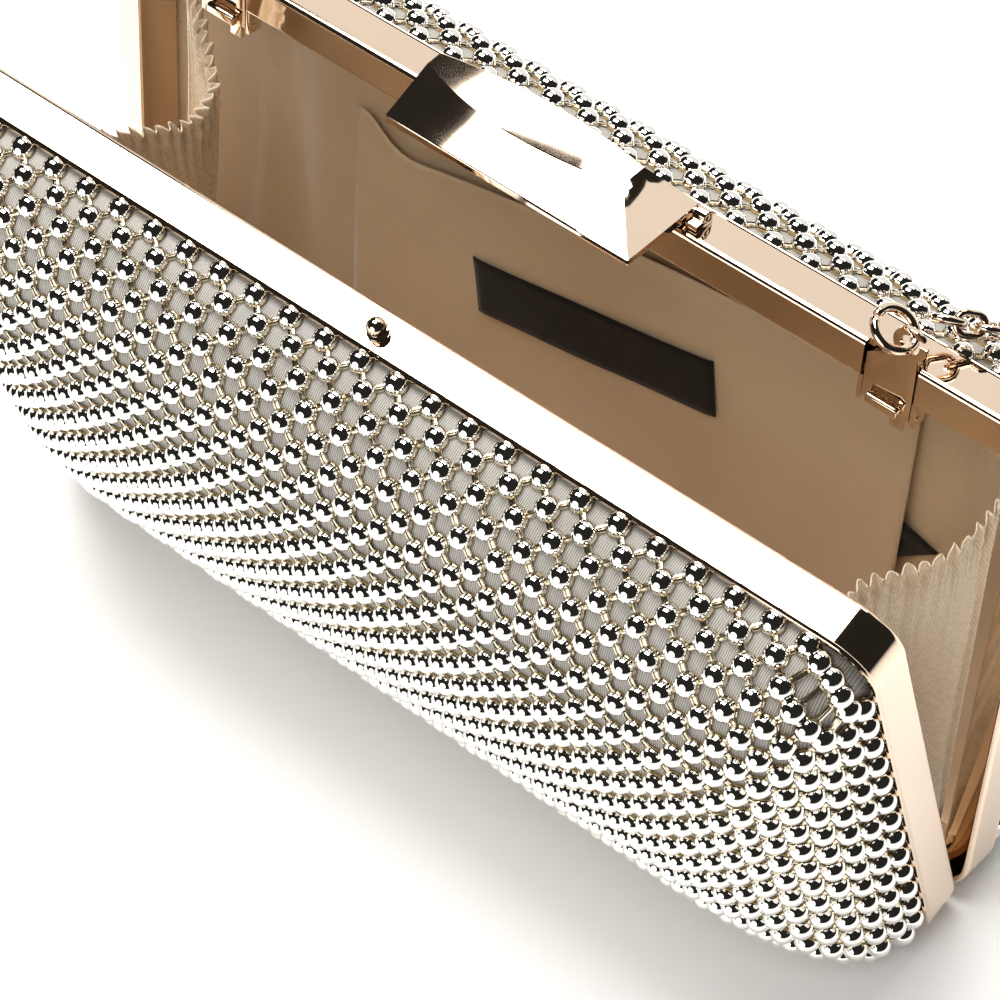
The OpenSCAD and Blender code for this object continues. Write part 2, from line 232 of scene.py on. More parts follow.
class Nodes:
    """Short names for building a node tree."""

    def __init__(self, name):
        self.mat = bpy.data.materials.new(name)
        self.mat.use_nodes = True
        self.tree = self.mat.node_tree
        self.bsdf = self.tree.nodes["Principled BSDF"]

    def add(self, kind, **values):
        n = self.tree.nodes.new(kind)
        for k, v in values.items():
            setattr(n, k, v)
        return n

    def link(self, a, b):
        self.tree.links.new(a, b)

    def coords(self, scale=1.0):
        t = self.add("ShaderNodeTexCoord")
        m = self.add("ShaderNodeMapping")
        m.inputs["Scale"].default_value = (scale, scale, scale) if isinstance(scale, (int, float)) else scale
        self.link(t.outputs["Object"], m.inputs["Vector"])
        return m

    def noise(self, scale, detail=2.0, stretch=1.0):
        n = self.add("ShaderNodeTexNoise")
        n.inputs["Scale"].default_value = scale
        n.inputs["Detail"].default_value = detail
        self.link(self.coords(stretch).outputs["Vector"], n.inputs["Vector"])
        return n

    def ramp(self, source, low, high, a, b):
        r = self.add("ShaderNodeValToRGB")
        r.color_ramp.elements[0].position = low
        r.color_ramp.elements[1].position = high
        r.color_ramp.elements[0].color = (*a, 1)
        r.color_ramp.elements[1].color = (*b, 1)
        self.link(source, r.inputs["Fac"])
        return r

    def bump(self, source, strength, distance, under=None):
        b = self.add("ShaderNodeBump")
        b.inputs["Strength"].default_value = strength
        b.inputs["Distance"].default_value = distance
        self.link(source, b.inputs["Height"])
        if under is not None:
            self.link(under.outputs["Normal"], b.inputs["Normal"])
        self.link(b.outputs["Normal"], self.bsdf.inputs["Normal"])
        return b

    def map_range(self, source, a, b):
        m = self.add("ShaderNodeMapRange")
        m.inputs["To Min"].default_value = a
        m.inputs["To Max"].default_value = b
        self.link(source, m.inputs["Value"])
        return m


def metal(name, colour, rough, wave=0.02, spots=None):
    """Polished metal: soft waviness, faint smudges and wear in the gloss."""
    n = Nodes(name)
    n.bsdf.inputs["Metallic"].default_value = 1.0
    base = n.noise(45, 3)
    shade = n.ramp(base.outputs["Fac"], 0.3, 0.75, tuple(c * 0.96 for c in colour), colour)
    n.link(shade.outputs["Color"], n.bsdf.inputs["Base Color"])
    smudge = n.noise(220, 4)
    r = n.map_range(smudge.outputs["Fac"], rough * 0.6, rough * 1.5)
    n.link(r.outputs["Result"], n.bsdf.inputs["Roughness"])
    if wave:
        wide = n.noise(60, 1)
        n.bump(wide.outputs["Fac"], wave, 0.001)
    return n.mat


def satin(name, light, dark, period=0.36, rib_dir=(1, 0, 0), rib=0.25, rough=0.38, sheen=0.4, depth=0.35):
    """Satin with fine ribs, a soft sheen, slight colour change, and painted shade in the hollows between the
    ribs.
    """
    n = Nodes(name)
    big = n.noise(28, 3)
    shade = n.ramp(big.outputs["Fac"], 0.32, 0.7, dark, light)
    ribs = n.add("ShaderNodeTexWave", wave_type="BANDS", bands_direction="X", wave_profile="SIN")
    ribs.inputs["Scale"].default_value = 0.31416 / (period * MM)
    ribs.inputs["Distortion"].default_value = 0.6
    ribs.inputs["Detail"].default_value = 1.0
    ribs.inputs["Detail Scale"].default_value = 0.15
    rot = n.coords(1.0)
    d = Vector(rib_dir).normalized()
    rot.inputs["Rotation"].default_value = d.rotation_difference(Vector((1, 0, 0))).to_euler()
    n.link(rot.outputs["Vector"], ribs.inputs["Vector"])
    # painted shade: the hollows between the ribs are darkened in the colour, as strongly as depth says; the
    # ribs' real relief is only the bump below
    rib_shade_mix = n.add("ShaderNodeMix", data_type="RGBA", blend_type="MULTIPLY")
    rib_shade_mix.inputs["Factor"].default_value = depth
    soft = n.ramp(ribs.outputs["Fac"], 0.0, 1.0, (0.45, 0.44, 0.42), (1, 1, 1))
    n.link(shade.outputs["Color"], rib_shade_mix.inputs[6])
    n.link(soft.outputs["Color"], rib_shade_mix.inputs[7])
    n.link(rib_shade_mix.outputs[2], n.bsdf.inputs["Base Color"])
    fine = n.noise(900, 2)
    r = n.map_range(fine.outputs["Fac"], rough * 0.85, rough * 1.2)
    n.link(r.outputs["Result"], n.bsdf.inputs["Roughness"])
    n.bsdf.inputs["Specular IOR Level"].default_value = 0.55
    n.bsdf.inputs["Sheen Weight"].default_value = sheen
    n.bsdf.inputs["Sheen Roughness"].default_value = 0.35
    under = n.bump(big.outputs["Fac"], 0.12, 0.001)
    n.bump(ribs.outputs["Fac"], rib, 0.00012, under)
    return n.mat


def woven(name, colour):
    """Matt black weave."""
    n = Nodes(name)
    a = n.add("ShaderNodeTexWave", wave_type="BANDS", bands_direction="X")
    b = n.add("ShaderNodeTexWave", wave_type="BANDS", bands_direction="Z")
    for w in (a, b):
        w.inputs["Scale"].default_value = 480
        n.link(n.coords(1.0).outputs["Vector"], w.inputs["Vector"])
    m = n.add("ShaderNodeMath", operation="MULTIPLY")
    n.link(a.outputs["Fac"], m.inputs[0])
    n.link(b.outputs["Fac"], m.inputs[1])
    shade = n.ramp(m.outputs[0], 0.0, 1.0, colour, tuple(min(1, c * 2.2 + 0.004) for c in colour))
    n.link(shade.outputs["Color"], n.bsdf.inputs["Base Color"])
    n.bsdf.inputs["Roughness"].default_value = 0.75
    n.bsdf.inputs["Sheen Weight"].default_value = 0.1
    n.bump(m.outputs[0], 0.4, 0.0001)
    return n.mat


ROSE = (0.83, 0.665, 0.52)
rose = metal("rose_metal_polished", ROSE, 0.045, 0.012)
rose_cast = metal("rose_metal_cast", ROSE, 0.05, 0.06)
silver = metal("bead_silver", (0.86, 0.845, 0.80), 0.06, 0.0)
collar = metal("bead_collar_gold", (0.70, 0.54, 0.30), 0.16, 0.0)
link_metal = metal("bead_link_metal", (0.78, 0.70, 0.54), 0.2, 0.0)
chain_gold = metal("chain_rose_metal", (0.84, 0.68, 0.55), 0.07, 0.02)
steel = metal("spring_steel_wire", (0.62, 0.62, 0.64), 0.22, 0.0)
# the grey satin takes the painted rib shade at full strength
grey_satin = satin("grey_satin_cloth", (0.53, 0.51, 0.475), (0.43, 0.41, 0.38), period=0.38,
                   rib=0.5, rough=0.34, sheen=0.3, depth=1.0)
lining = satin("lining_satin_cloth", (0.78, 0.61, 0.41), (0.70, 0.53, 0.345), period=0.42,
               rib_dir=(0.5, 0, 1), rib=0.3, rough=0.36, depth=0.4)
gusset_cloth = satin("gusset_satin_cloth", (0.84, 0.70, 0.52), (0.77, 0.62, 0.44), period=0.4,
                     rib_dir=(0.3, 1, 0.2), rough=0.27, sheen=0.5)
black_cloth = woven("black_woven_cloth", (0.006, 0.006, 0.006))
board = satin("shell_board_face", (0.5, 0.46, 0.4), (0.42, 0.38, 0.33), period=2.0, rib=0.2,
              rough=0.7, sheen=0.0)


# ---------- cords: the shoulder chain ----------

ROUTE_RIGHT = [
    (67.8, 26.2, 110.2), (70.5, 28.4, 108.8), (74, 32, 106.6), (78, 36.5, 103.6), (81.5, 41, 98.5),
    (84, 44.6, 91), (85, 46, 80), (85, 46, 66), (85, 46, 52), (85, 46.2, 38), (84.5, 46.8, 24),
    (82.5, 48.4, 11.5), (77.5, 51.5, 4.4), (69.5, 55, 2.8), (58, 58, 2.8), (44, 59.5, 3.2), (28, 59.5, 3.3)]
ROUTE_LEFT = [
    (-72, 27.6, 109.4), (-73.6, 29.2, 108.4), (-76, 32, 106.6), (-79.5, 36.5, 103.6), (-82.5, 41, 98.5),
    (-84.5, 44.6, 91), (-85, 46, 80), (-85, 46, 66), (-85, 46, 52), (-85, 46.2, 38), (-84.5, 47, 24),
    (-82.5, 49.4, 11.5), (-78, 53, 4.4), (-71, 56.6, 3.4), (-62, 59, 5), (-52, 59.5, 7.4)]
HANK_X, HANK_Y, HANK_RUN = -12.0, 47.0, 35.0


def smooth_path(pts, step):
    """A smooth curve through the points, sampled evenly."""
    p = np.array(pts, float)
    q = np.vstack([2 * p[0] - p[1], p, 2 * p[-1] - p[-2]])
    out = []
    for i in range(1, len(q) - 2):
        for t in np.linspace(0, 1, 40, endpoint=False):
            a, b, c, d = q[i - 1], q[i], q[i + 1], q[i + 2]
            out.append(0.5 * (2 * b + (c - a) * t + (2 * a - 5 * b + 4 * c - d) * t * t
                              + (3 * b - a - 3 * c + d) * t ** 3))
    out.append(p[-1])
    out = np.array(out)
    s = np.concatenate([[0], np.cumsum(np.linalg.norm(np.diff(out, axis=0), axis=1))])
    n = max(2, int(round(s[-1] / step)) + 1)
    u = np.linspace(0, s[-1], n)
    return np.stack([np.interp(u, s, out[:, k]) for k in range(3)], 1), s[-1]


def hank_points():
    """Four flat turns with round ends, two on the floor and two on top of them."""
    turns = [(12.4, 3.3), (7.6, 3.3), (7.6, 7.7), (12.4, 7.7)]
    pts = []

    def ease(a, b, t):
        return a + (b - a) * t * t * (3 - 2 * t)

    for k, (r, z) in enumerate(turns):
        r1, z1 = turns[(k + 1)] if k + 1 < len(turns) else (r, z)
        x0 = HANK_X + HANK_RUN if k else 26.0
        for x in np.linspace(x0, HANK_X - HANK_RUN, 6)[(0 if k == 0 else 1):-1]:
            pts.append((x, HANK_Y + r, z))
        for a in np.linspace(90, 270, 9):
            c = math.radians(a)
            pts.append((HANK_X - HANK_RUN + r * math.cos(c), HANK_Y + r * math.sin(c), z))
        for x in np.linspace(HANK_X - HANK_RUN, HANK_X + HANK_RUN, 6)[1:-1]:
            pts.append((x, HANK_Y - r, z))
        for i, a in enumerate(np.linspace(-90, 90, 9)):
            t = i / 8
            rr = ease(r, r1, t)
            zz = ease(z, z1, t)
            c = math.radians(a)
            # the inner end of the half turn lands on the next turn's line
            pts.append((HANK_X + HANK_RUN + rr * math.cos(c), HANK_Y + rr * math.sin(c), zz))
    for x in (8, -10, -28, -44):
        pts.append((x, HANK_Y + 12.5, 7.6))
    return pts


def chain(name, route, pitch=3.62, seed=1):
    """Oval links along a route, every other one turned a quarter."""
    path, total = smooth_path(route, 0.5)
    s = np.concatenate([[0], np.cumsum(np.linalg.norm(np.diff(path, axis=0), axis=1))])
    count = int(total / pitch)
    rng = np.random.default_rng(seed)
    tang = np.gradient(path, axis=0)
    tang /= np.linalg.norm(tang, axis=1)[:, None]
    nrm = np.zeros_like(tang)
    n0 = np.array([0, 0, 1.0]) if abs(tang[0][2]) < 0.8 else np.array([0, 1.0, 0])
    for i, t in enumerate(tang):
        n0 = n0 - t * (n0 @ t)
        n0 /= np.linalg.norm(n0)
        nrm[i] = n0
    wire, half_len, half_wid = 0.66, 3.1 - 0.66, 2.35 - 0.66
    major, minor = 22, 8
    loop = []
    run = half_len - half_wid
    for k in range(major):
        a = 2 * math.pi * k / major
        x = half_wid * math.cos(a) + (run if math.cos(a) > 0 else -run)
        loop.append((x, half_wid * math.sin(a)))
    loop = np.array(loop)
    verts, faces = [], []
    for i in range(count):
        at = (i + 0.5) * total / count
        c = np.array([np.interp(at, s, path[:, k]) for k in range(3)])
        j = min(np.searchsorted(s, at), len(path) - 1)
        t, n = tang[j], nrm[j]
        b = np.cross(t, n)
        ang = math.radians(45 + 90 * (i % 2) + rng.uniform(-9, 9))
        u = math.cos(ang) * n + math.sin(ang) * b
        w = np.cross(t, u)
        base = len(verts)
        for k in range(major):
            px, py = loop[k]
            qx, qy = loop[(k + 1) % major] - loop[k - 1]
            ln = math.hypot(qx, qy)
            ox, oy = qy / ln, -qx / ln
            for m in range(minor):
                q = 2 * math.pi * m / minor
                rr = wire * math.cos(q)
                verts.append(c + t * (px + ox * rr) + u * (py + oy * rr) + w * wire * math.sin(q))
        for k in range(major):
            k2 = (k + 1) % major
            for m in range(minor):
                m2 = (m + 1) % minor
                faces.append((base + k * minor + m, base + k2 * minor + m,
                              base + k2 * minor + m2, base + k * minor + m2))
    ob = make(name, np.array(verts) * MM, faces, chain_gold)
    centre, length = smooth_path(route, 2.0)
    return ob, [tuple(q * MM) for q in centre], length * MM


def shoulder_chain():
    right, right_path, right_len = chain("shoulder_chain_right", ROUTE_RIGHT, seed=3)
    hank, hank_path, hank_len = chain("shoulder_chain_hank", hank_points(), seed=4)
    left, left_path, left_len = chain("shoulder_chain_left", ROUTE_LEFT, seed=5)
    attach(hank, "back_half")
    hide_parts("chain_right")
    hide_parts("chain_hank")
    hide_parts("chain_left")
    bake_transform(right)
    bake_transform(left)
    print("chain lengths", round(right_len, 4), round(hank_len, 4), round(left_len, 4))


shoulder_chain()


def ribbon_tie():
    """A soft black band round the middle of the hank."""
    pts = []
    hw, z0, z1, r = 15.35, 0.35, 10.65, 3.0
    for cx, cz, a0 in ((hw - r, z1 - r, 0), (-hw + r, z1 - r, 90),
                       (-hw + r, z0 + r, 180), (hw - r, z0 + r, 270)):
        for a in np.linspace(a0, a0 + 90, 7):
            pts.append((cx + r * math.cos(math.radians(a)), cz + r * math.sin(math.radians(a))))
    pts = np.array(pts)
    nxt = np.roll(pts, -1, 0) - np.roll(pts, 1, 0)
    nxt /= np.linalg.norm(nxt, axis=1)[:, None]
    out = np.stack([nxt[:, 1], -nxt[:, 0]], 1)
    n = len(pts)
    verts = []
    section = [(-2.9, -0.18), (-3.0, 0.0), (-2.9, 0.22), (-1.4, 0.3), (0, 0.26), (1.4, 0.3),
               (2.9, 0.22), (3.0, 0.0), (2.9, -0.18)]
    for i in range(n):
        for sx, so in section:
            wob = 0.12 * math.sin(i * 1.3 + sx)
            y, z = pts[i] + out[i] * (so + wob * (abs(sx) > 2))
            verts.append((HANK_X + sx, HANK_Y + y, max(z, 0.03)))
    m = len(section)
    faces = []
    for i in range(n):
        k = (i + 1) % n
        for j in range(m):
            l = (j + 1) % m
            faces.append((i * m + j, i * m + l, k * m + l, k * m + j))
    ob = make("chain_tie_band", np.array(verts) * MM, faces, black_cloth)
    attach(ob, "back_half")
    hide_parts("chain_tie")


ribbon_tie()


# ---------- frames ----------

def outline_path(segments=12):
    """Corner arcs with guard rings by each end, as (corner, angle, along, in-corner)."""
    out = []
    for q, (sx, sz) in enumerate(((1, 1), (-1, 1), (-1, -1), (1, -1))):
        for m in range(segments + 1):
            out.append((sx, sz, math.radians(90 * q + 90 * m / segments), m == 0, m == segments))
    return out


def frame_half(side):
    """Channel frame swept round the outline, cut for the hinge barrel and, at the back, the hooks."""
    # half width, half height, corner radius, middle height
    outer = (HALF_W, H / 2, 8.0, H / 2)
    inner = (89.6, 47.5, 5.0, 51.5)
    prof = []

    def arc(kind, n0, w0, r, a0, a1, steps=5):
        for a in np.linspace(a0, a1, steps):
            prof.append((kind, n0 + r * math.cos(math.radians(a)), w0 + r * math.sin(math.radians(a))))

    # g is the short flat that keeps each rounded edge crisp
    g = 0.06
    for n, w in ((0.3, 8.0), (0.1, 7.94), (0.0, 7.78), (0.03, 7.6), (0.16, 7.46), (0.12, 7.34),
                 (0.0, 7.24), (0.0, 7.1)):
        prof.append(("o", n, w))
    prof.append(("o", 0.0, 1.0 + g))
    arc("o", 0.95, 1.0, 0.95, 180, 270, 7)
    prof.append(("o", 0.95 + g, 0.05))
    prof.append(("i", 0.5 + g, 0.05))
    arc("i", 0.5, 0.55, 0.5, 270, 180, 5)
    prof += [("i", n, w) for n, w in ((0.0, 0.55 + g), (0.0, 8.8), (0.1, 9.0), (1.1, 9.0), (1.2, 8.8),
                                      (1.2, 1.4), (1.25, 1.25))]
    prof += [("o", n, w) for n, w in ((1.25, 1.25), (1.2, 1.4), (1.2, 7.8), (1.0, 8.0))]
    rings = []
    for sx, sz, ang, first, last in outline_path():
        rings.append((sx, sz, ang, 0.0))
        if last:
            rings.append((sx, sz, ang, 0.5))
        if first:
            rings.insert(len(rings) - 1, (sx, sz, ang, -0.5))
    verts = []
    for sx, sz, ang, shift in rings:
        for kind, n, w in prof:
            a, b, r, vc = outer if kind == "o" else inner
            # n is inward for the outer outline and outward for the opening
            rr = r - n if kind == "o" else r + n
            cx, cz = sx * (a - r), sz * (b - r)
            x = cx + rr * math.cos(ang) - shift * math.sin(ang)
            z = vc + cz + rr * math.sin(ang) + shift * math.cos(ang)
            verts.append((x, w, z))
    m = len(prof)
    faces = []
    for i in range(len(rings)):
        k = (i + 1) % len(rings)
        for j in range(m):
            l = (j + 1) % m
            faces.append((i * m + j, k * m + j, k * m + l, i * m + l))
    ob = make(side + "_frame_band", world(verts, side), faces, rose, flip=(side == "front"))
    even_normals(ob)
    # the hinge barrel's groove along the bottom
    groove_r, groove_half = 1.9, 61
    v, f = lathe([(groove_r, -groove_half), (groove_r, groove_half)], 40)
    groove = np.stack([v[:, 2], v[:, 1], v[:, 0] + HINGE_Z], 1)
    cut_away(ob, make("cut", groove * MM, f, rose))
    if side == "back":
        for xh in HOOK_X.values():
            cut_away(ob, box_tool((xh - 4.9, -1.0, 98.9), (xh + 4.9, 1.35, 107.0), side))
    sharp(ob, 30)
    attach(ob, side + "_half")
    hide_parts(side + "_frame")


for side in ("back", "front"):
    frame_half(side)


# ---------- domes ----------

POWER = 0.87                    # shape of the bulge's section, 1 is an ellipse
EDGE = 35.0                     # how far from each end the bulge rises
LOW_R, TOP_R = 8, 20            # corner radius at the rim and towards the top


def dome_ring(a, b, vc, w0, w1, t, count):
    """One level of the bulge: a rounded rectangle at angle t from the rim, evenly sampled."""
    c = math.cos(t) ** POWER if t < math.pi / 2 - 1e-9 else 0.0
    s = math.sin(t) ** POWER
    bk = max(b * c, 0.6)
    r = min(bk - 0.1, LOW_R * c + TOP_R * (1 - c))
    ak = a - EDGE * (1 - c)
    w = w0 + (w1 - w0) * s
    pts = []
    walk = [((1, -1), (1, 1)), ((1, 1), (-1, 1)), ((-1, 1), (-1, -1)), ((-1, -1), (1, -1))]
    arc = math.pi / 2 * r
    sx, sz = 2 * (ak - r), 2 * (bk - r)
    for i in range(count):
        quarter, f = divmod(i * 4.0 / count, 1.0)
        q = int(quarter)
        side = sz if q % 2 == 0 else sx
        total = side + arc
        d = f * total
        if d < side:
            u = d / max(side, 1e-9)
            (x0, z0), (x1, z1) = walk[q]
            if q in (0, 2):
                x, z = x0 * ak, (bk - r) * (z0 + (z1 - z0) * u)
            else:
                x, z = (ak - r) * (x0 + (x1 - x0) * u), z0 * bk
        else:
            ang = (d - side) / r + math.pi / 2 * q
            cx = (ak - r) * (1 if q in (0, 3) else -1)
            cz = (bk - r) * (1 if q in (0, 1) else -1)
            x, z = cx + r * math.cos(ang), cz + r * math.sin(ang)
        pts.append((x, w, vc + z))
    return pts


def dome(name, side, mat, a, b, vc, w0, w1, skirt, bump=None, steps=34, count=176):
    """A bulge over the frame's opening, with upright skirt rows at the given depths."""
    rows = []
    for w in skirt:
        rows.append([(x, w, z) for x, _, z in dome_ring(a, b, vc, w0, w1, 0.0, count)])
    for t in np.linspace(0, math.radians(89.5), steps):
        rows.append(dome_ring(a, b, vc, w0, w1, t, count))
    p = np.array([q for r in rows for q in r])
    if bump is not None:
        p = bump(p)
    faces = [tuple(reversed(f)) for f in grid_faces(len(rows), count, True)]
    faces.append(tuple(reversed(range((len(rows) - 1) * count, len(rows) * count))))
    return make(name, world(p, side), [f[::-1] for f in faces], mat, flip=(side == "front"))


def height_at(x, v, a, b, vc, w0, w1):
    """Depth of the dome over (x, v), by halving on the ring value."""
    x, v = np.abs(x), np.abs(v - vc)
    lo, hi = np.zeros_like(x), np.ones_like(x)

    def outside(c):
        bk = np.maximum(b * c, 0.6)
        r = np.minimum(bk - 0.1, LOW_R * c + TOP_R * (1 - c))
        ak = a - EDGE * (1 - c)
        dx, dv = x - (ak - r), v - (bk - r)
        return np.where((dx > 0) & (dv > 0), np.hypot(dx, dv) - r, np.maximum(dx - r, dv - r))

    for _ in range(40):
        mid = (lo + hi) / 2
        out = outside(mid) > 0
        lo = np.where(out, mid, lo)
        hi = np.where(out, hi, mid)
    c = (lo + hi) / 2
    s = np.maximum(0, 1 - np.minimum(c, 1) ** (2 / POWER)) ** (POWER / 2)
    return w0 + (w1 - w0) * s, outside(np.ones_like(x)) > 0


BASE = dict(a=92.9, b=50.9, vc=53.0, w0=8.0, w1=31.9)


def arc_table(extent, edge, depth):
    """Distance along the dome's section against the straight distance from its middle."""
    t = np.linspace(math.pi / 2, 0, 400)
    c, s = np.cos(t) ** POWER, np.sin(t) ** POWER
    u = extent - edge * (1 - c)
    w = depth * s
    s_len = np.concatenate([[0], np.cumsum(np.hypot(np.diff(u), np.diff(w)))])
    return u, s_len + u[0]


def bead_net(side):
    """Half beads on gold collars, joined by short links along both diagonals."""
    mid_v = BASE["vc"]
    depth = BASE["w1"] - BASE["w0"]
    ux, sx = arc_table(BASE["a"], EDGE, depth)
    uv, sv = arc_table(BASE["b"], BASE["b"], depth)
    pitch = 7.17
    places = []
    top = sv[-1] - 1.15
    rows = int(2 * top / (pitch * 0.492)) + 1
    step = 2 * top / (rows - 1)
    keys = {}
    for j in range(rows):
        t = top - j * step
        offset = 0.5 * (j % 2)
        n = int(sx[-1] / pitch) + 1
        for i in range(-n, n + 1):
            s = (i + offset) * pitch
            if abs(s) > sx[-1] - 0.9:
                continue
            keys[(2 * i + (j % 2), j)] = len(places)
            places.append((s, t))
    places = np.array(places)
    sgn = np.where(places < 0, -1, 1)
    step_s = 0.3

    def moved(k, d, s_table, u_table):
        """Straight distance of every place after a step d outward along the cloth."""
        q = np.maximum(np.abs(places[:, k]) + d, 0)
        return np.where(q < s_table[0], q, np.interp(q, s_table, u_table)) * sgn[:, k]

    def h(xx, vv):
        return height_at(xx, vv, **BASE)[0]

    xb, x, xa = [moved(0, d, sx, ux) for d in (-step_s, 0, step_s)]
    vb, v, va = [moved(1, d, sv, uv) + mid_v for d in (-step_s, 0, step_s)]
    w, out = height_at(x, v, **BASE)
    # normals from the surface in its own two directions
    P = np.stack([x, w, v], 1)
    fx = np.stack([xa, h(xa, v), v], 1) - np.stack([xb, h(xb, v), v], 1)
    fv = np.stack([x, h(x, va), va], 1) - np.stack([x, h(x, vb), vb], 1)
    fx[:, 0] += 1e-6
    fv[:, 2] += 1e-6
    N = np.cross(fx, fv)
    N *= np.sign(N[:, 1])[:, None] + (N[:, 1] == 0)[:, None]
    bad = np.linalg.norm(N, axis=1) < 1e-9
    N[bad] = (0, 1, 0)
    N /= np.linalg.norm(N, axis=1)[:, None]
    outward = np.stack([np.sign(x) * 0.01, np.zeros_like(x), np.sign(v - mid_v) * 0.01], 1)
    flipped = (N * outward).sum(1) < -0.005
    N[flipped, 0] *= np.where(np.sign(N[flipped, 0]) != np.sign(x[flipped]), -1, 1)
    N[flipped, 2] *= np.where(np.sign(N[flipped, 2]) != np.sign(v[flipped] - mid_v), -1, 1)
    # beads that would fall outside the corner curve are drawn in to it
    r = float(LOW_R)
    cx, cz = BASE["a"] - r, BASE["b"] - r
    dx, dz = np.abs(x) - cx, np.abs(v - mid_v) - cz
    d = np.hypot(np.maximum(dx, 0), np.maximum(dz, 0))
    pull = out & (dx > 0) & (dz > 0) & (d < r + 2.6)
    k = np.where(pull, (r - 0.3) / np.maximum(d, 1e-6), 1)
    P[:, 0] = np.where(pull, np.sign(x) * (cx + dx * k), P[:, 0])
    P[:, 2] = np.where(pull, mid_v + np.sign(v - mid_v) * (cz + dz * k), P[:, 2])
    P[:, 1] = np.where(pull, height_at(P[:, 0], P[:, 2], **BASE)[0], P[:, 1])
    diag = np.stack([np.sign(x) * dx, 0.15 * np.ones_like(x), np.sign(v - mid_v) * dz], 1)
    diag /= np.linalg.norm(diag, axis=1)[:, None]
    N = np.where(pull[:, None], diag, N)
    ok = ~out
    closest = 3.9
    for i in np.nonzero(pull)[0]:
        ok[i] = np.linalg.norm(P[ok] - P[i], axis=1).min() > closest
    # bead: gold collar below a silver half ball
    prof = [(1.9, -0.3), (2.0, 0.0), (2.02, 0.15), (2.13, 0.3), (2.13, 0.42), (2.06, 0.48)]
    split = len(prof)
    bead_r, bead_h = 2.04, 1.95
    for a in np.linspace(6, 81, 7):
        prof.append((bead_r * math.cos(math.radians(a)), 0.46 + bead_h * math.sin(math.radians(a))))
    seg = 18
    bv, bf = lathe(prof, seg)
    bf = bf[:-2] + [tuple(range((len(prof) - 1) * seg, len(prof) * seg))]
    kinds = [1 if (k // seg) < split - 1 else 0 for k in range(len(bf) - 1)] + [0]
    verts, faces, index = [], [], []
    for i in np.nonzero(ok)[0]:
        n = N[i]
        t = np.cross(n, (0, 0, 1.0)) if abs(n[2]) < 0.9 else np.cross(n, (1.0, 0, 0))
        t /= np.linalg.norm(t)
        b = np.cross(n, t)
        jit = RNG.normal(0, 0.035, 3)
        lean = n + 0.03 * RNG.normal(0, 1, 3)
        lean /= np.linalg.norm(lean)
        t = np.cross(lean, b)
        t /= np.linalg.norm(t)
        b = np.cross(t, lean) * -1
        base = len(verts)
        c = P[i] + jit + n * 0.12
        for q in bv:
            verts.append(c + t * q[0] + b * q[1] + lean * q[2])
        faces += [tuple(base + k for k in f) for f in bf]
        index += kinds
    # links along the two diagonals
    bar = [(-0.62, -0.05), (-0.5, 0.24), (-0.2, 0.3), (-0.06, 0.1)]
    bar += [(-cu, cn) for cu, cn in reversed(bar)]
    for (kx, j), i in keys.items():
        for dx in (-1, 1):
            other = keys.get((kx + dx, j + 1))
            if other is None or not (ok[i] and ok[other]):
                continue
            a, b = P[i], P[other]
            if np.linalg.norm(a - b) > 9:
                continue
            n = N[i] + N[other]
            n /= np.linalg.norm(n)
            mid = (a + b) / 2
            surface = np.array([mid[0], height_at(mid[:1], mid[2:], **BASE)[0][0], mid[2]])
            mid = mid + n * min(max((surface - mid) @ n, -0.2), 0.5)
            along = (b - a) / np.linalg.norm(b - a)
            cross = np.cross(n, along)
            base = len(verts)
            for f, up in ((-0.36, 0.16), (-0.2, 0.32), (0.0, 0.36), (0.2, 0.32), (0.36, 0.16)):
                q = mid + along * np.linalg.norm(b - a) * f
                for cu, cn in bar:
                    verts.append(q + cross * cu + n * (cn + up))
            m = len(bar)
            for r in range(4):
                for c in range(m):
                    c2 = (c + 1) % m
                    faces.append((base + r * m + c, base + (r + 1) * m + c,
                                  base + (r + 1) * m + c2, base + r * m + c2))
                    index.append(2)
            faces.append(tuple(base + c for c in range(m)))
            faces.append(tuple(base + 4 * m + c for c in reversed(range(m))))
            index += [2, 2]
    ob = make(side + "_bead_net", world(verts, side), faces, [silver, collar, link_metal], index=index,
              flip=(side == "front"))
    even_normals(ob)
    sharp(ob, 50)
    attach(ob, side + "_half")
    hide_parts(side + "_bead_mesh")
    print(side, "beads", int(ok.sum()))


def quilt(p):
    """The satin puffs out a little between the links."""
    q = p.copy()
    q[:, 1] += 0.12 * np.sin(q[:, 0] * 0.9) * np.sin(q[:, 2] * 0.9)
    return q


for side in ("back", "front"):
    cloth = dome(side + "_satin_cover", side, grey_satin, skirt=(4.0, 6.0), bump=quilt, **BASE)
    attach(cloth, side + "_half")
    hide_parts(side + "_satin")
    bead_net(side)
    inner = dome(side + "_formed_shell", side, board, 92.3, 50.3, 53.0, 8.0, 30.6, skirt=(3.0, 5.5),
                 steps=20, count=120)
    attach(inner, side + "_half")
    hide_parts(side + "_shell")


# ---------- lining ----------

def folds_back(p):
    """Soft folds in the back lining, deepest beside the gussets."""
    q = p.copy()
    x, v = q[:, 0], q[:, 2]
    deep = np.clip((q[:, 1] - 9) / 4, 0, 1)
    left = np.exp(-((x + 68 - 0.12 * (v - 60)) / 9) ** 2)
    right = np.exp(-((x - 72 + 0.06 * (v - 60)) / 8) ** 2)
    q[:, 1] += deep * (1.5 * left * np.sin(0.42 * (x + 68) + 0.02 * v)
                       + 1.1 * right * np.sin(0.4 * x + 0.05 * v)
                       + 0.35 * np.sin(0.13 * x + 0.06 * v) + 0.2 * np.sin(0.31 * x - 0.11 * v + 1.0))
    return q


def folds_front(p):
    """Slight waves in the front lining."""
    q = p.copy()
    x, v = q[:, 0], q[:, 2]
    deep = np.clip((q[:, 1] - 9) / 4, 0, 1)
    q[:, 1] += deep * (0.45 * np.sin(0.11 * x + 0.05 * v) + 0.25 * np.sin(0.27 * x - 0.09 * v + 0.6))
    return q


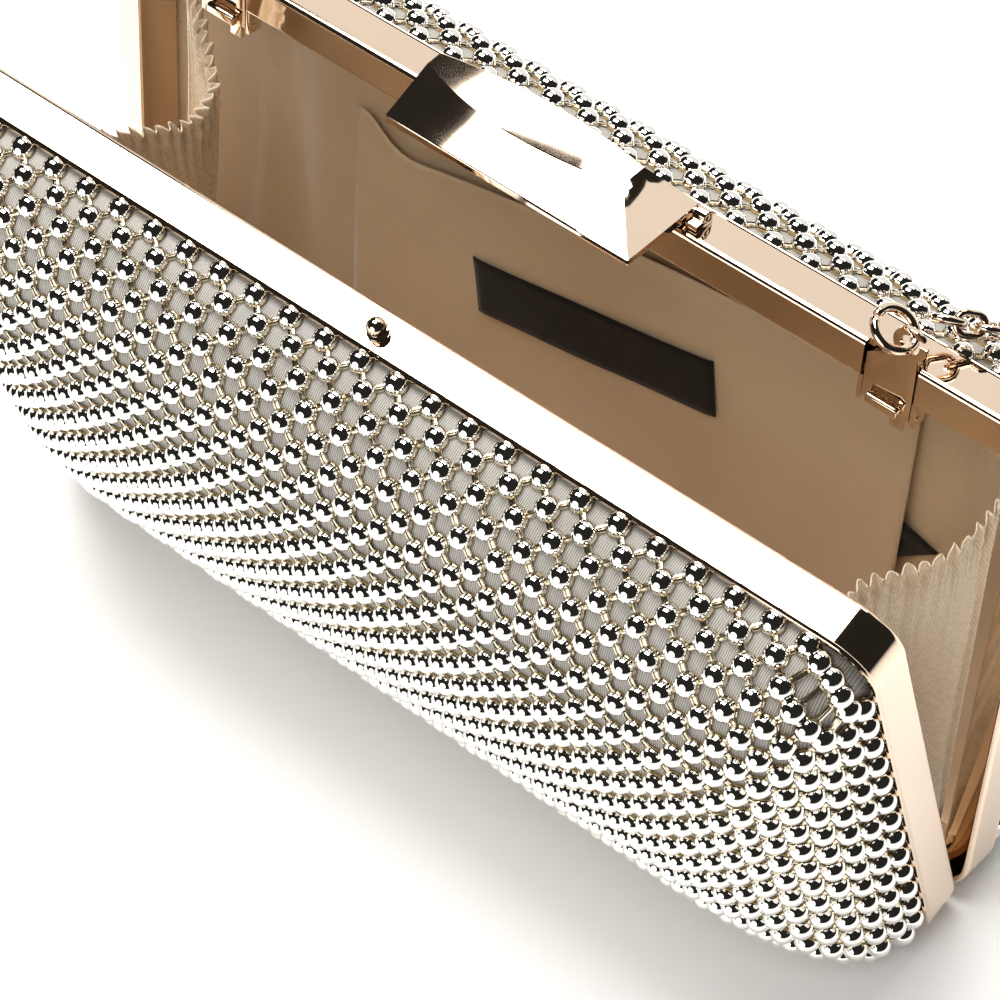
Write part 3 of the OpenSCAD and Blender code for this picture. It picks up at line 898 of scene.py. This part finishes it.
for side, fn in (("back", folds_back), ("front", folds_front)):
    cloth = dome(side + "_lining_cloth", side, lining, 90.6, 48.3, 51.5, 9.0, 15.3, skirt=(9.0,),
                 steps=30, count=200, bump=fn)
    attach(cloth, side + "_half")
    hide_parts(side + "_lining")


def pocket():
    """Slip pocket: a slack panel with a turned top hem and a sewn right edge."""
    cols, rows = 90, 56
    front, back = [], []
    for j in range(rows):
        t = j / (rows - 1)
        for i in range(cols):
            s = i / (cols - 1)
            x = -51.0 + 116.0 * s
            # the top edge climbs to the right, with a short turned-up corner at the left
            top = 70.5 + 16.2 * (1 - (1 - min(s * 1.2, 1)) ** 2.0) + 9.0 * math.exp(-(s / 0.06) ** 2)
            v = 15 + (top - 15) * t
            w = 12.35
            w -= 0.5 * math.exp(-((1 - t) / 0.05) ** 2) * math.sin(math.pi * min(max(s, 0.02), 0.98))
            w -= 0.9 * (t ** 3) * math.sin(math.pi * s) ** 2
            w += 0.28 * math.sin(9 * s + 2.2 * t) * math.sin(math.pi * s)
            # pocket edge stitching at the right
            seam = math.exp(-((s - 0.957) / 0.006) ** 2)
            w += 0.22 * seam * (0.6 + 0.4 * math.sin(v * 2.6))
            w += 0.15 * math.exp(-((t - 0.93) / 0.01) ** 2)
            front.append((x, w, v))
            back.append((x, w + 0.28, v))
    ob = make("slip_pocket_panel", world(front + back, "back"), slab_faces(rows, cols), lining)
    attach(ob, "back_half")
    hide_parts("slip_pocket")


pocket()


def panel_from(name, corners, w, thick, mat, node, bend=0.25):
    """A thin woven piece between four corners, with rolled ends."""
    cols, rows = 40, 10
    tl, tr, br, bl = [np.array(c, float) for c in corners]
    front, back = [], []
    for j in range(rows):
        t = j / (rows - 1)
        for i in range(cols):
            s = i / (cols - 1)
            top, bot = tl + (tr - tl) * s, bl + (br - bl) * s
            q = bot + (top - bot) * t
            dw = -bend * math.sin(math.pi * s) * 0.6 + 0.08 * math.sin(11 * s + 3 * t)
            dw += 0.3 * math.exp(-(min(s, 1 - s) / 0.02) ** 2)
            front.append((q[0], w + dw, q[1]))
            back.append((q[0], w + dw + thick, q[1]))
    ob = make(name, world(front + back, "back"), slab_faces(rows, cols), mat)
    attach(ob, "back_half")
    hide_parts(node)
    return ob


label = panel_from("woven_label_blank", [(-24.1, 62.4), (26.1, 70.8), (28, 59.6), (-22.2, 51.2)], 11.3, 0.3,
                   black_cloth, "woven_label")
tab = panel_from("dark_tab_cloth", [(57.0, 60.8), (64.5, 59.3), (71.8, 57.4), (60.0, 48.0)], 13.0, 0.3,
                 black_cloth, "dark_tab", 0.1)


# ---------- gussets ----------

def gusset(side_x):
    """Side panel of satin, gathered on elastic along its top and frilled above it."""
    name = "right" if side_x > 0 else "left"
    # plan of the gathered edge from the back frame to the front frame
    if side_x > 0:
        edge = [(87.2, 17.2, 91.5), (86.2, 15.6, 85.5), (84.4, 12, 80.6), (81.4, 7.5, 77.6),
                (78.2, 3.4, 76.9), (75.8, 0, 76.4), (74.6, -3.4, 76.2), (76.5, -7.6, 76.8),
                (81, -11.5, 79.6), (85, -14.8, 84.6), (87.2, -17.2, 91.5)]
    else:
        edge = [(78.6, 18.0, 96.5), (76.4, 17.4, 89.5), (74.2, 15.9, 83.0), (70.6, 13, 80.2),
                (69.2, 9.0, 78.9), (68.6, 4.5, 79.2), (71.4, 0, 79.6), (74.9, -4.5, 80.4),
                (78.6, -9, 81.2), (82, -12.6, 82.6), (84.6, -15, 85.6), (86.6, -17.0, 91)]
        edge = [(-x, y, z) for x, y, z in edge]
    line, _ = smooth_path(edge, 0.22)
    cols = len(line)
    s = np.linspace(0, 1, cols)
    tang = np.gradient(line, axis=0)
    tang /= np.linalg.norm(tang, axis=1)[:, None]
    out = np.cross(tang, (0, 0, 1.0))
    out /= np.linalg.norm(out, axis=1)[:, None]
    out *= np.sign(out[:, 0:1] * side_x + 1e-9)
    pleats = 23 if side_x > 0 else 27
    # the pleats wander a little along the edge but end where they should
    wob = RNG.uniform(-0.35, 0.35, 80)
    drift = np.cumsum(wob) - np.linspace(0, wob.sum(), 80)
    phase = 2 * np.pi * (s * pleats + 0.4 * np.interp(s * 79, np.arange(80), drift))
    lump = 1 + 0.35 * np.sin(0.37 * phase + 1.0) + 0.2 * np.sin(0.61 * phase)
    fade = np.sin(np.pi * np.clip(s, 0.0, 1.0)) ** 0.25
    # rows as (height over the edge, pleat depth): frill, elastic casing, then down the panel
    rows = []
    heights = [(2.7, 1.0), (2.2, 1.0), (1.5, 0.85), (0.8, 0.6), (0.2, 0.45), (-0.4, 0.62), (-1.1, 0.7),
               (-1.9, 0.6), (-2.5, 0.34), (-3.2, 0.4), (-4.4, 0.3), (-6, 0.18), (-9, 0.1), (-13, 0.06),
               (-18, 0.03), (-24, 0.0), (-31, 0.0), (-39, 0.0), (-48, 0.0), (-57, 0.0), (-64, 0.0)]
    foot_z, drop, wall_x = 12.0, 64.0, 88.2
    for h, amp in heights:
        f = min(1.0, max(0.0, -h) / drop)
        q = line.copy()
        # lower rows relax towards the hinge line
        zt = line[:, 2] + h
        if h < 0:
            zt = line[:, 2] + (foot_z - line[:, 2]) * f
            yscale = (zt / np.maximum(line[:, 2], 1e-6)) ** 0.9
            ylim = np.sin(TILT) * (zt - HINGE_Z) / np.cos(TILT) + 0.3
            q[:, 1] = np.clip(line[:, 1] * yscale, -ylim, ylim)
            inward = side_x * wall_x - line[:, 0]
            belly = (1 - f) ** 0.9 + 0.55 * math.sin(math.pi * f) * 0.6
            q[:, 0] = side_x * wall_x - inward * np.clip(belly, 0, 1.12)
        q[:, 2] = zt
        ripple = np.sin(phase + (0.25 * h if h > 0 else 0.06 * h)) + 0.25 * np.sin(2.1 * phase + 0.8)
        size = 0.95 * amp * fade * lump
        q += out * (ripple * size)[:, None] * 0.85
        if h > 0:
            q[:, 2] += 0.45 * np.cos(phase + 0.5) * fade * (h / 2.6) * lump
            q += tang * (0.4 * np.sin(phase + 1.1) * (h / 2.6))[:, None]
        rows.append(q)
    # a broad soft fold below the gathers
    for r, (h, amp) in enumerate(heights):
        if h < -3:
            f = -h / drop
            start = 0.15 if side_x > 0 else 0.6
            depth = 1.3 * math.sin(math.pi * min(1, f * 1.15))
            fold = depth * np.sin(2 * np.pi * (1.4 * s + 0.1 * f + start))
            rows[r] += out * (fold * fade)[:, None]
    # keep the ends inside the opening
    pts = np.vstack(rows)
    pts[:, 0] = np.clip(pts[:, 0], -89.0, 89.0)
    n = len(pts)
    shift = np.zeros_like(pts)
    shift[:, 0] = side_x * 0.22
    faces = grid_faces(len(rows), cols)
    allf = list(faces) + [tuple(n + k for k in reversed(f)) for f in faces]
    last = (len(rows) - 1) * cols
    for i in range(cols - 1):
        allf.append((i + 1, i, n + i, n + i + 1))
        allf.append((last + i, last + i + 1, n + last + i + 1, n + last + i))
    for j in range(len(rows) - 1):
        a, b = j * cols, (j + 1) * cols
        allf.append((a, b, n + b, n + a))
        allf.append((b + cols - 1, a + cols - 1, n + a + cols - 1, n + b + cols - 1))
    ob = make("gusset_cloth_" + name, np.vstack([pts, pts + shift]) * MM, allf, gusset_cloth)
    even_normals(ob)
    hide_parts("gusset_" + name, "elastic_edge_" + name)
    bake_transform(ob)


gusset(1)
gusset(-1)


# ---------- clasp ----------

def clasp():
    """Cut bar: a long bowed front facet, a narrow top, and a sloping facet at the right end."""
    left, right = -24.2, 16.2
    keys = [left, -5.0, right]

    def curve(x, values):
        return float(np.polyval(np.polyfit(keys, values, 2), x))

    rows = []
    for x in np.linspace(left, right, 25):
        # f and r are the front and rear edges of the narrow top
        f, r = curve(x, [-2.5, -6.5, -3.7]), curve(x, [0.7, 2.9, 1.25])
        lean = 0.13 * (r - f)
        t = (x - left) / (right - left)
        rows.append([(x + 1.6, -14.2, H + 3.35), (x + 1.6 - 0.4 * t, -14.2 + 0.4 * t, H + 4.85 - 0.9 * t),
                     (x, f, H + 7.2),
                     (x + 0.5 * lean, r - 0.5 * lean, H + 7.2 + lean), (x, 5.6, H + 1.7), (x, 4.3, H + 0.2)])
    end = [(25.8, -14.2, H + 3.35), (25.4, -13.8, H + 3.95), (24.2, 5.5, H + 2.2),
           (24.2, 5.6, H + 1.7), (24.2, 4.3, H + 0.2)]
    bm = bmesh.new()
    bv = [[bm.verts.new(q) for q in row] for row in rows]
    ev = [bm.verts.new(q) for q in end]
    bm.faces.new(list(reversed(bv[0])))
    for a, b in zip(bv[:-1], bv[1:]):
        for i in range(6):
            k = (i + 1) % 6
            bm.faces.new((a[i], a[k], b[k], b[i]))
    a = bv[-1]
    bm.faces.new((a[0], a[1], ev[1], ev[0]))
    bm.faces.new((a[1], a[2], ev[1]))
    # the right facet is a gently twisted four-sided patch
    n = 8
    corner = [v.co.copy() for v in (a[2], a[3], ev[2], ev[1])]
    patch = {(0, 0): a[2], (0, n): a[3], (n, n): ev[2], (n, 0): ev[1]}
    for i in range(n + 1):
        for j in range(n + 1):
            if (i, j) not in patch:
                p, q = i / n, j / n
                near, far = corner[0].lerp(corner[1], q), corner[3].lerp(corner[2], q)
                patch[i, j] = bm.verts.new(near.lerp(far, p))
    for i in range(n):
        for j in range(n):
            bm.faces.new((patch[i, j], patch[i, j + 1], patch[i + 1, j + 1], patch[i + 1, j]))
    bm.faces.new((a[3], a[4], ev[3], ev[2]))
    bm.faces.new((a[4], a[5], ev[4], ev[3]))
    bm.faces.new((a[5], a[0], ev[0], ev[4]))
    bm.faces.new((ev[0], ev[1], ev[2], ev[3], ev[4]))
    bmesh.ops.recalc_face_normals(bm, faces=bm.faces)
    co = world([v.co[:] for v in bm.verts], "back")
    for v, c in zip(bm.verts, co):
        v.co = c
    me = bpy.data.meshes.new("clasp_bar_facets")
    bm.to_mesh(me)
    bm.free()
    me.materials.append(rose_cast)
    ob = bpy.data.objects.new("clasp_bar_facets", me)
    bpy.context.scene.collection.objects.link(ob)
    bevel(ob, 0.2, 2, 12)
    # way in for the stud, under the bar
    for front, low, top in ((-15.5, -2.0, 3.45), (-6.8, 3.0, 5.4)):
        cut_away(ob, box_tool((-2.15, front, H + low), (2.15, -1.9, H + top), "back"))
    sharp(ob, 4)
    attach(ob, "clasp")
    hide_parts("clasp_bar")


clasp()


def stud():
    """Turned ball on a small flange."""
    ball = 1.62
    prof = [(1.75, 0.0), (1.85, 0.12), (1.85, 0.4), (1.7, 0.52), (1.15, 0.6), (1.0, 0.8), (1.0, 1.0)]
    for a in np.linspace(-52, 84, 14):
        prof.append((ball * math.cos(math.radians(a)), 1.6 + ball * math.sin(math.radians(a))))
    v, f = lathe(prof, 40)
    p = np.stack([v[:, 0], v[:, 1] + 4.2, v[:, 2] + H], 1)
    ob = make("ball_stud_turned", world(p, "front"), f, rose, flip=True)
    sharp(ob, 45)
    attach(ob, "front_half")
    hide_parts("ball_stud")


stud()

# small fittings keep their CAD shape, with rounded edges
for node, body, width in (
        ("clasp_brackets", "back_half", 0.2), ("clasp_pin", "back_half", 0.1),
        ("clasp_spring", "back_half", 0.08),
        ("hook_plate_right", "hook_right", 0.18), ("hook_plate_left", "hook_left", 0.18),
        ("hook_bracket_right", "back_half", 0.15), ("hook_bracket_left", "back_half", 0.15),
        ("hook_pin_right", "back_half", 0.12), ("hook_pin_left", "back_half", 0.12),
        ("back_hinge_leaf", "back_half", 0.1), ("front_hinge_leaf", "front_half", 0.1),
        ("back_rivets", "back_half", 0.08), ("front_rivets", "front_half", 0.08),
        ("hinge_pin", "back_half", 0.12)):
    spring = node == "clasp_spring"
    ob = bevelled(node, steel if spring else rose, width)
    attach(ob, body)
    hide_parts(node)


def ring(name, xh, body, node):
    """Round wire ring with a small gap where its ends meet."""
    verts, faces = [], []
    major, minor = 64, 14
    ring_r, wire_r = 3.5, 0.8
    ca, sa = math.cos(math.radians(30)), math.sin(math.radians(30))
    cx, cw, cv = xh + 2.5 - 3.03, 0.7, H + 3.3 + 1.75
    gap = math.radians(2.2)
    for k in range(major + 1):
        a = math.radians(200) + gap + (2 * math.pi - 2 * gap) * k / major
        end = min(k, major - k)
        wire = wire_r * (1 if end > 1 else (0.9 if end == 1 else 0.72))
        for m in range(minor):
            q = 2 * math.pi * m / minor
            r = ring_r + wire * math.cos(q)
            x, y, z = r * math.cos(a), r * math.sin(a), wire * math.sin(q)
            verts.append((cx + x * ca + z * sa, cw + y, cv - x * sa + z * ca))
    for k in range(major):
        for m in range(minor):
            m2 = (m + 1) % minor
            faces.append((k * minor + m, (k + 1) * minor + m, (k + 1) * minor + m2, k * minor + m2))
    faces.append(tuple(reversed(range(minor))))
    faces.append(tuple(range(major * minor, (major + 1) * minor)))
    ob = make(name, world(verts, "back"), faces, rose)
    sharp(ob, 50)
    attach(ob, body)
    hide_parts(node)


ring("hook_ring_wire_right", HOOK_X["right"], "ring_right", "hook_ring_right")
ring("hook_ring_wire_left", HOOK_X["left"], "ring_left", "hook_ring_left")


def barrel(name, xh, body):
    """Rolled bar across the foot of the hook plate."""
    w0, v0, rx = -0.45, 96.4, 3.0
    rows = []
    for x, k in ((-rx, 0.0), (-rx, 0.72), (-rx + 0.12, 0.92), (-rx + 0.35, 1.0), (rx - 0.35, 1.0),
                 (rx - 0.12, 0.92), (rx, 0.72), (rx, 0.0)):
        for a in np.linspace(0, 2 * math.pi, 32, endpoint=False):
            c, sn = math.cos(a), math.sin(a)
            # flat-sided round section
            rows.append((xh + x, w0 + 0.72 * k * np.sign(c) * abs(c) ** 0.75,
                         v0 + k * np.sign(sn) * abs(sn) ** 0.6))
    ob = make(name, world(rows, "back"), grid_faces(8, 32, True), rose)
    even_normals(ob, merge=1e-6)
    sharp(ob, 40)
    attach(ob, body)


barrel("hook_barrel_right", HOOK_X["right"], "hook_right")
barrel("hook_barrel_left", HOOK_X["left"], "hook_left")


# ---------- stage and light ----------

def stage():
    n = Nodes("pale_floor")
    n.bsdf.inputs["Base Color"].default_value = (0.96, 0.955, 0.95, 1)
    n.bsdf.inputs["Roughness"].default_value = 0.85
    n.bsdf.inputs["Specular IOR Level"].default_value = 0.1
    s = 6.0
    ob = make("floor", [(-s, -s, 0), (s, -s, 0), (s, s, 0), (-s, s, 0)], [(0, 1, 2, 3)], n.mat)
    w = bpy.data.worlds.new("studio")
    w.use_nodes = True
    bpy.context.scene.world = w
    w.node_tree.nodes["Background"].inputs["Color"].default_value = (1, 0.93, 0.86, 1)
    w.node_tree.nodes["Background"].inputs["Strength"].default_value = 0.022


def softbox(name, at, size, power, aim=(0, 0, 0.05), disk=False, unseen=False):
    """Area light; unseen keeps it out of reflections, to light cloth and floor only."""
    d = bpy.data.lights.new(name, "AREA")
    d.shape = "ELLIPSE" if disk else "RECTANGLE"
    d.size, d.size_y = size
    d.energy = power
    d.color = (1, 0.985, 0.96)
    o = bpy.data.objects.new(name, d)
    bpy.context.scene.collection.objects.link(o)
    o.location = at
    o.visible_glossy = not unseen
    o.rotation_euler = (Vector(aim) - Vector(at)).to_track_quat("-Z", "Y").to_euler()


stage()
softbox("overhead_left", (-0.42, 0.09, 1.05), (0.84, 0.42), 9, aim=(-0.42, 0.09, 0))
softbox("overhead_back", (-0.27, 0.82, 1.05), (0.95, 0.36), 8, aim=(-0.27, 0.82, 0))
softbox("back_panel", (-0.30, 1.20, 0.60), (2.0, 0.95), 6, aim=(-0.30, 0, 0.60))
softbox("front_low", (-0.08, -1.30, 0.36), (1.25, 1.25), 9, disk=True)
softbox("fill_front", (0.25, -0.75, 1.25), (0.9, 0.9), 8, unseen=True)
softbox("fill_top", (-0.3, 0.1, 1.35), (0.9, 0.9), 13, unseen=True)

bpy.context.scene.view_settings.view_transform = "Standard"
bpy.context.scene.view_settings.exposure = 0.0
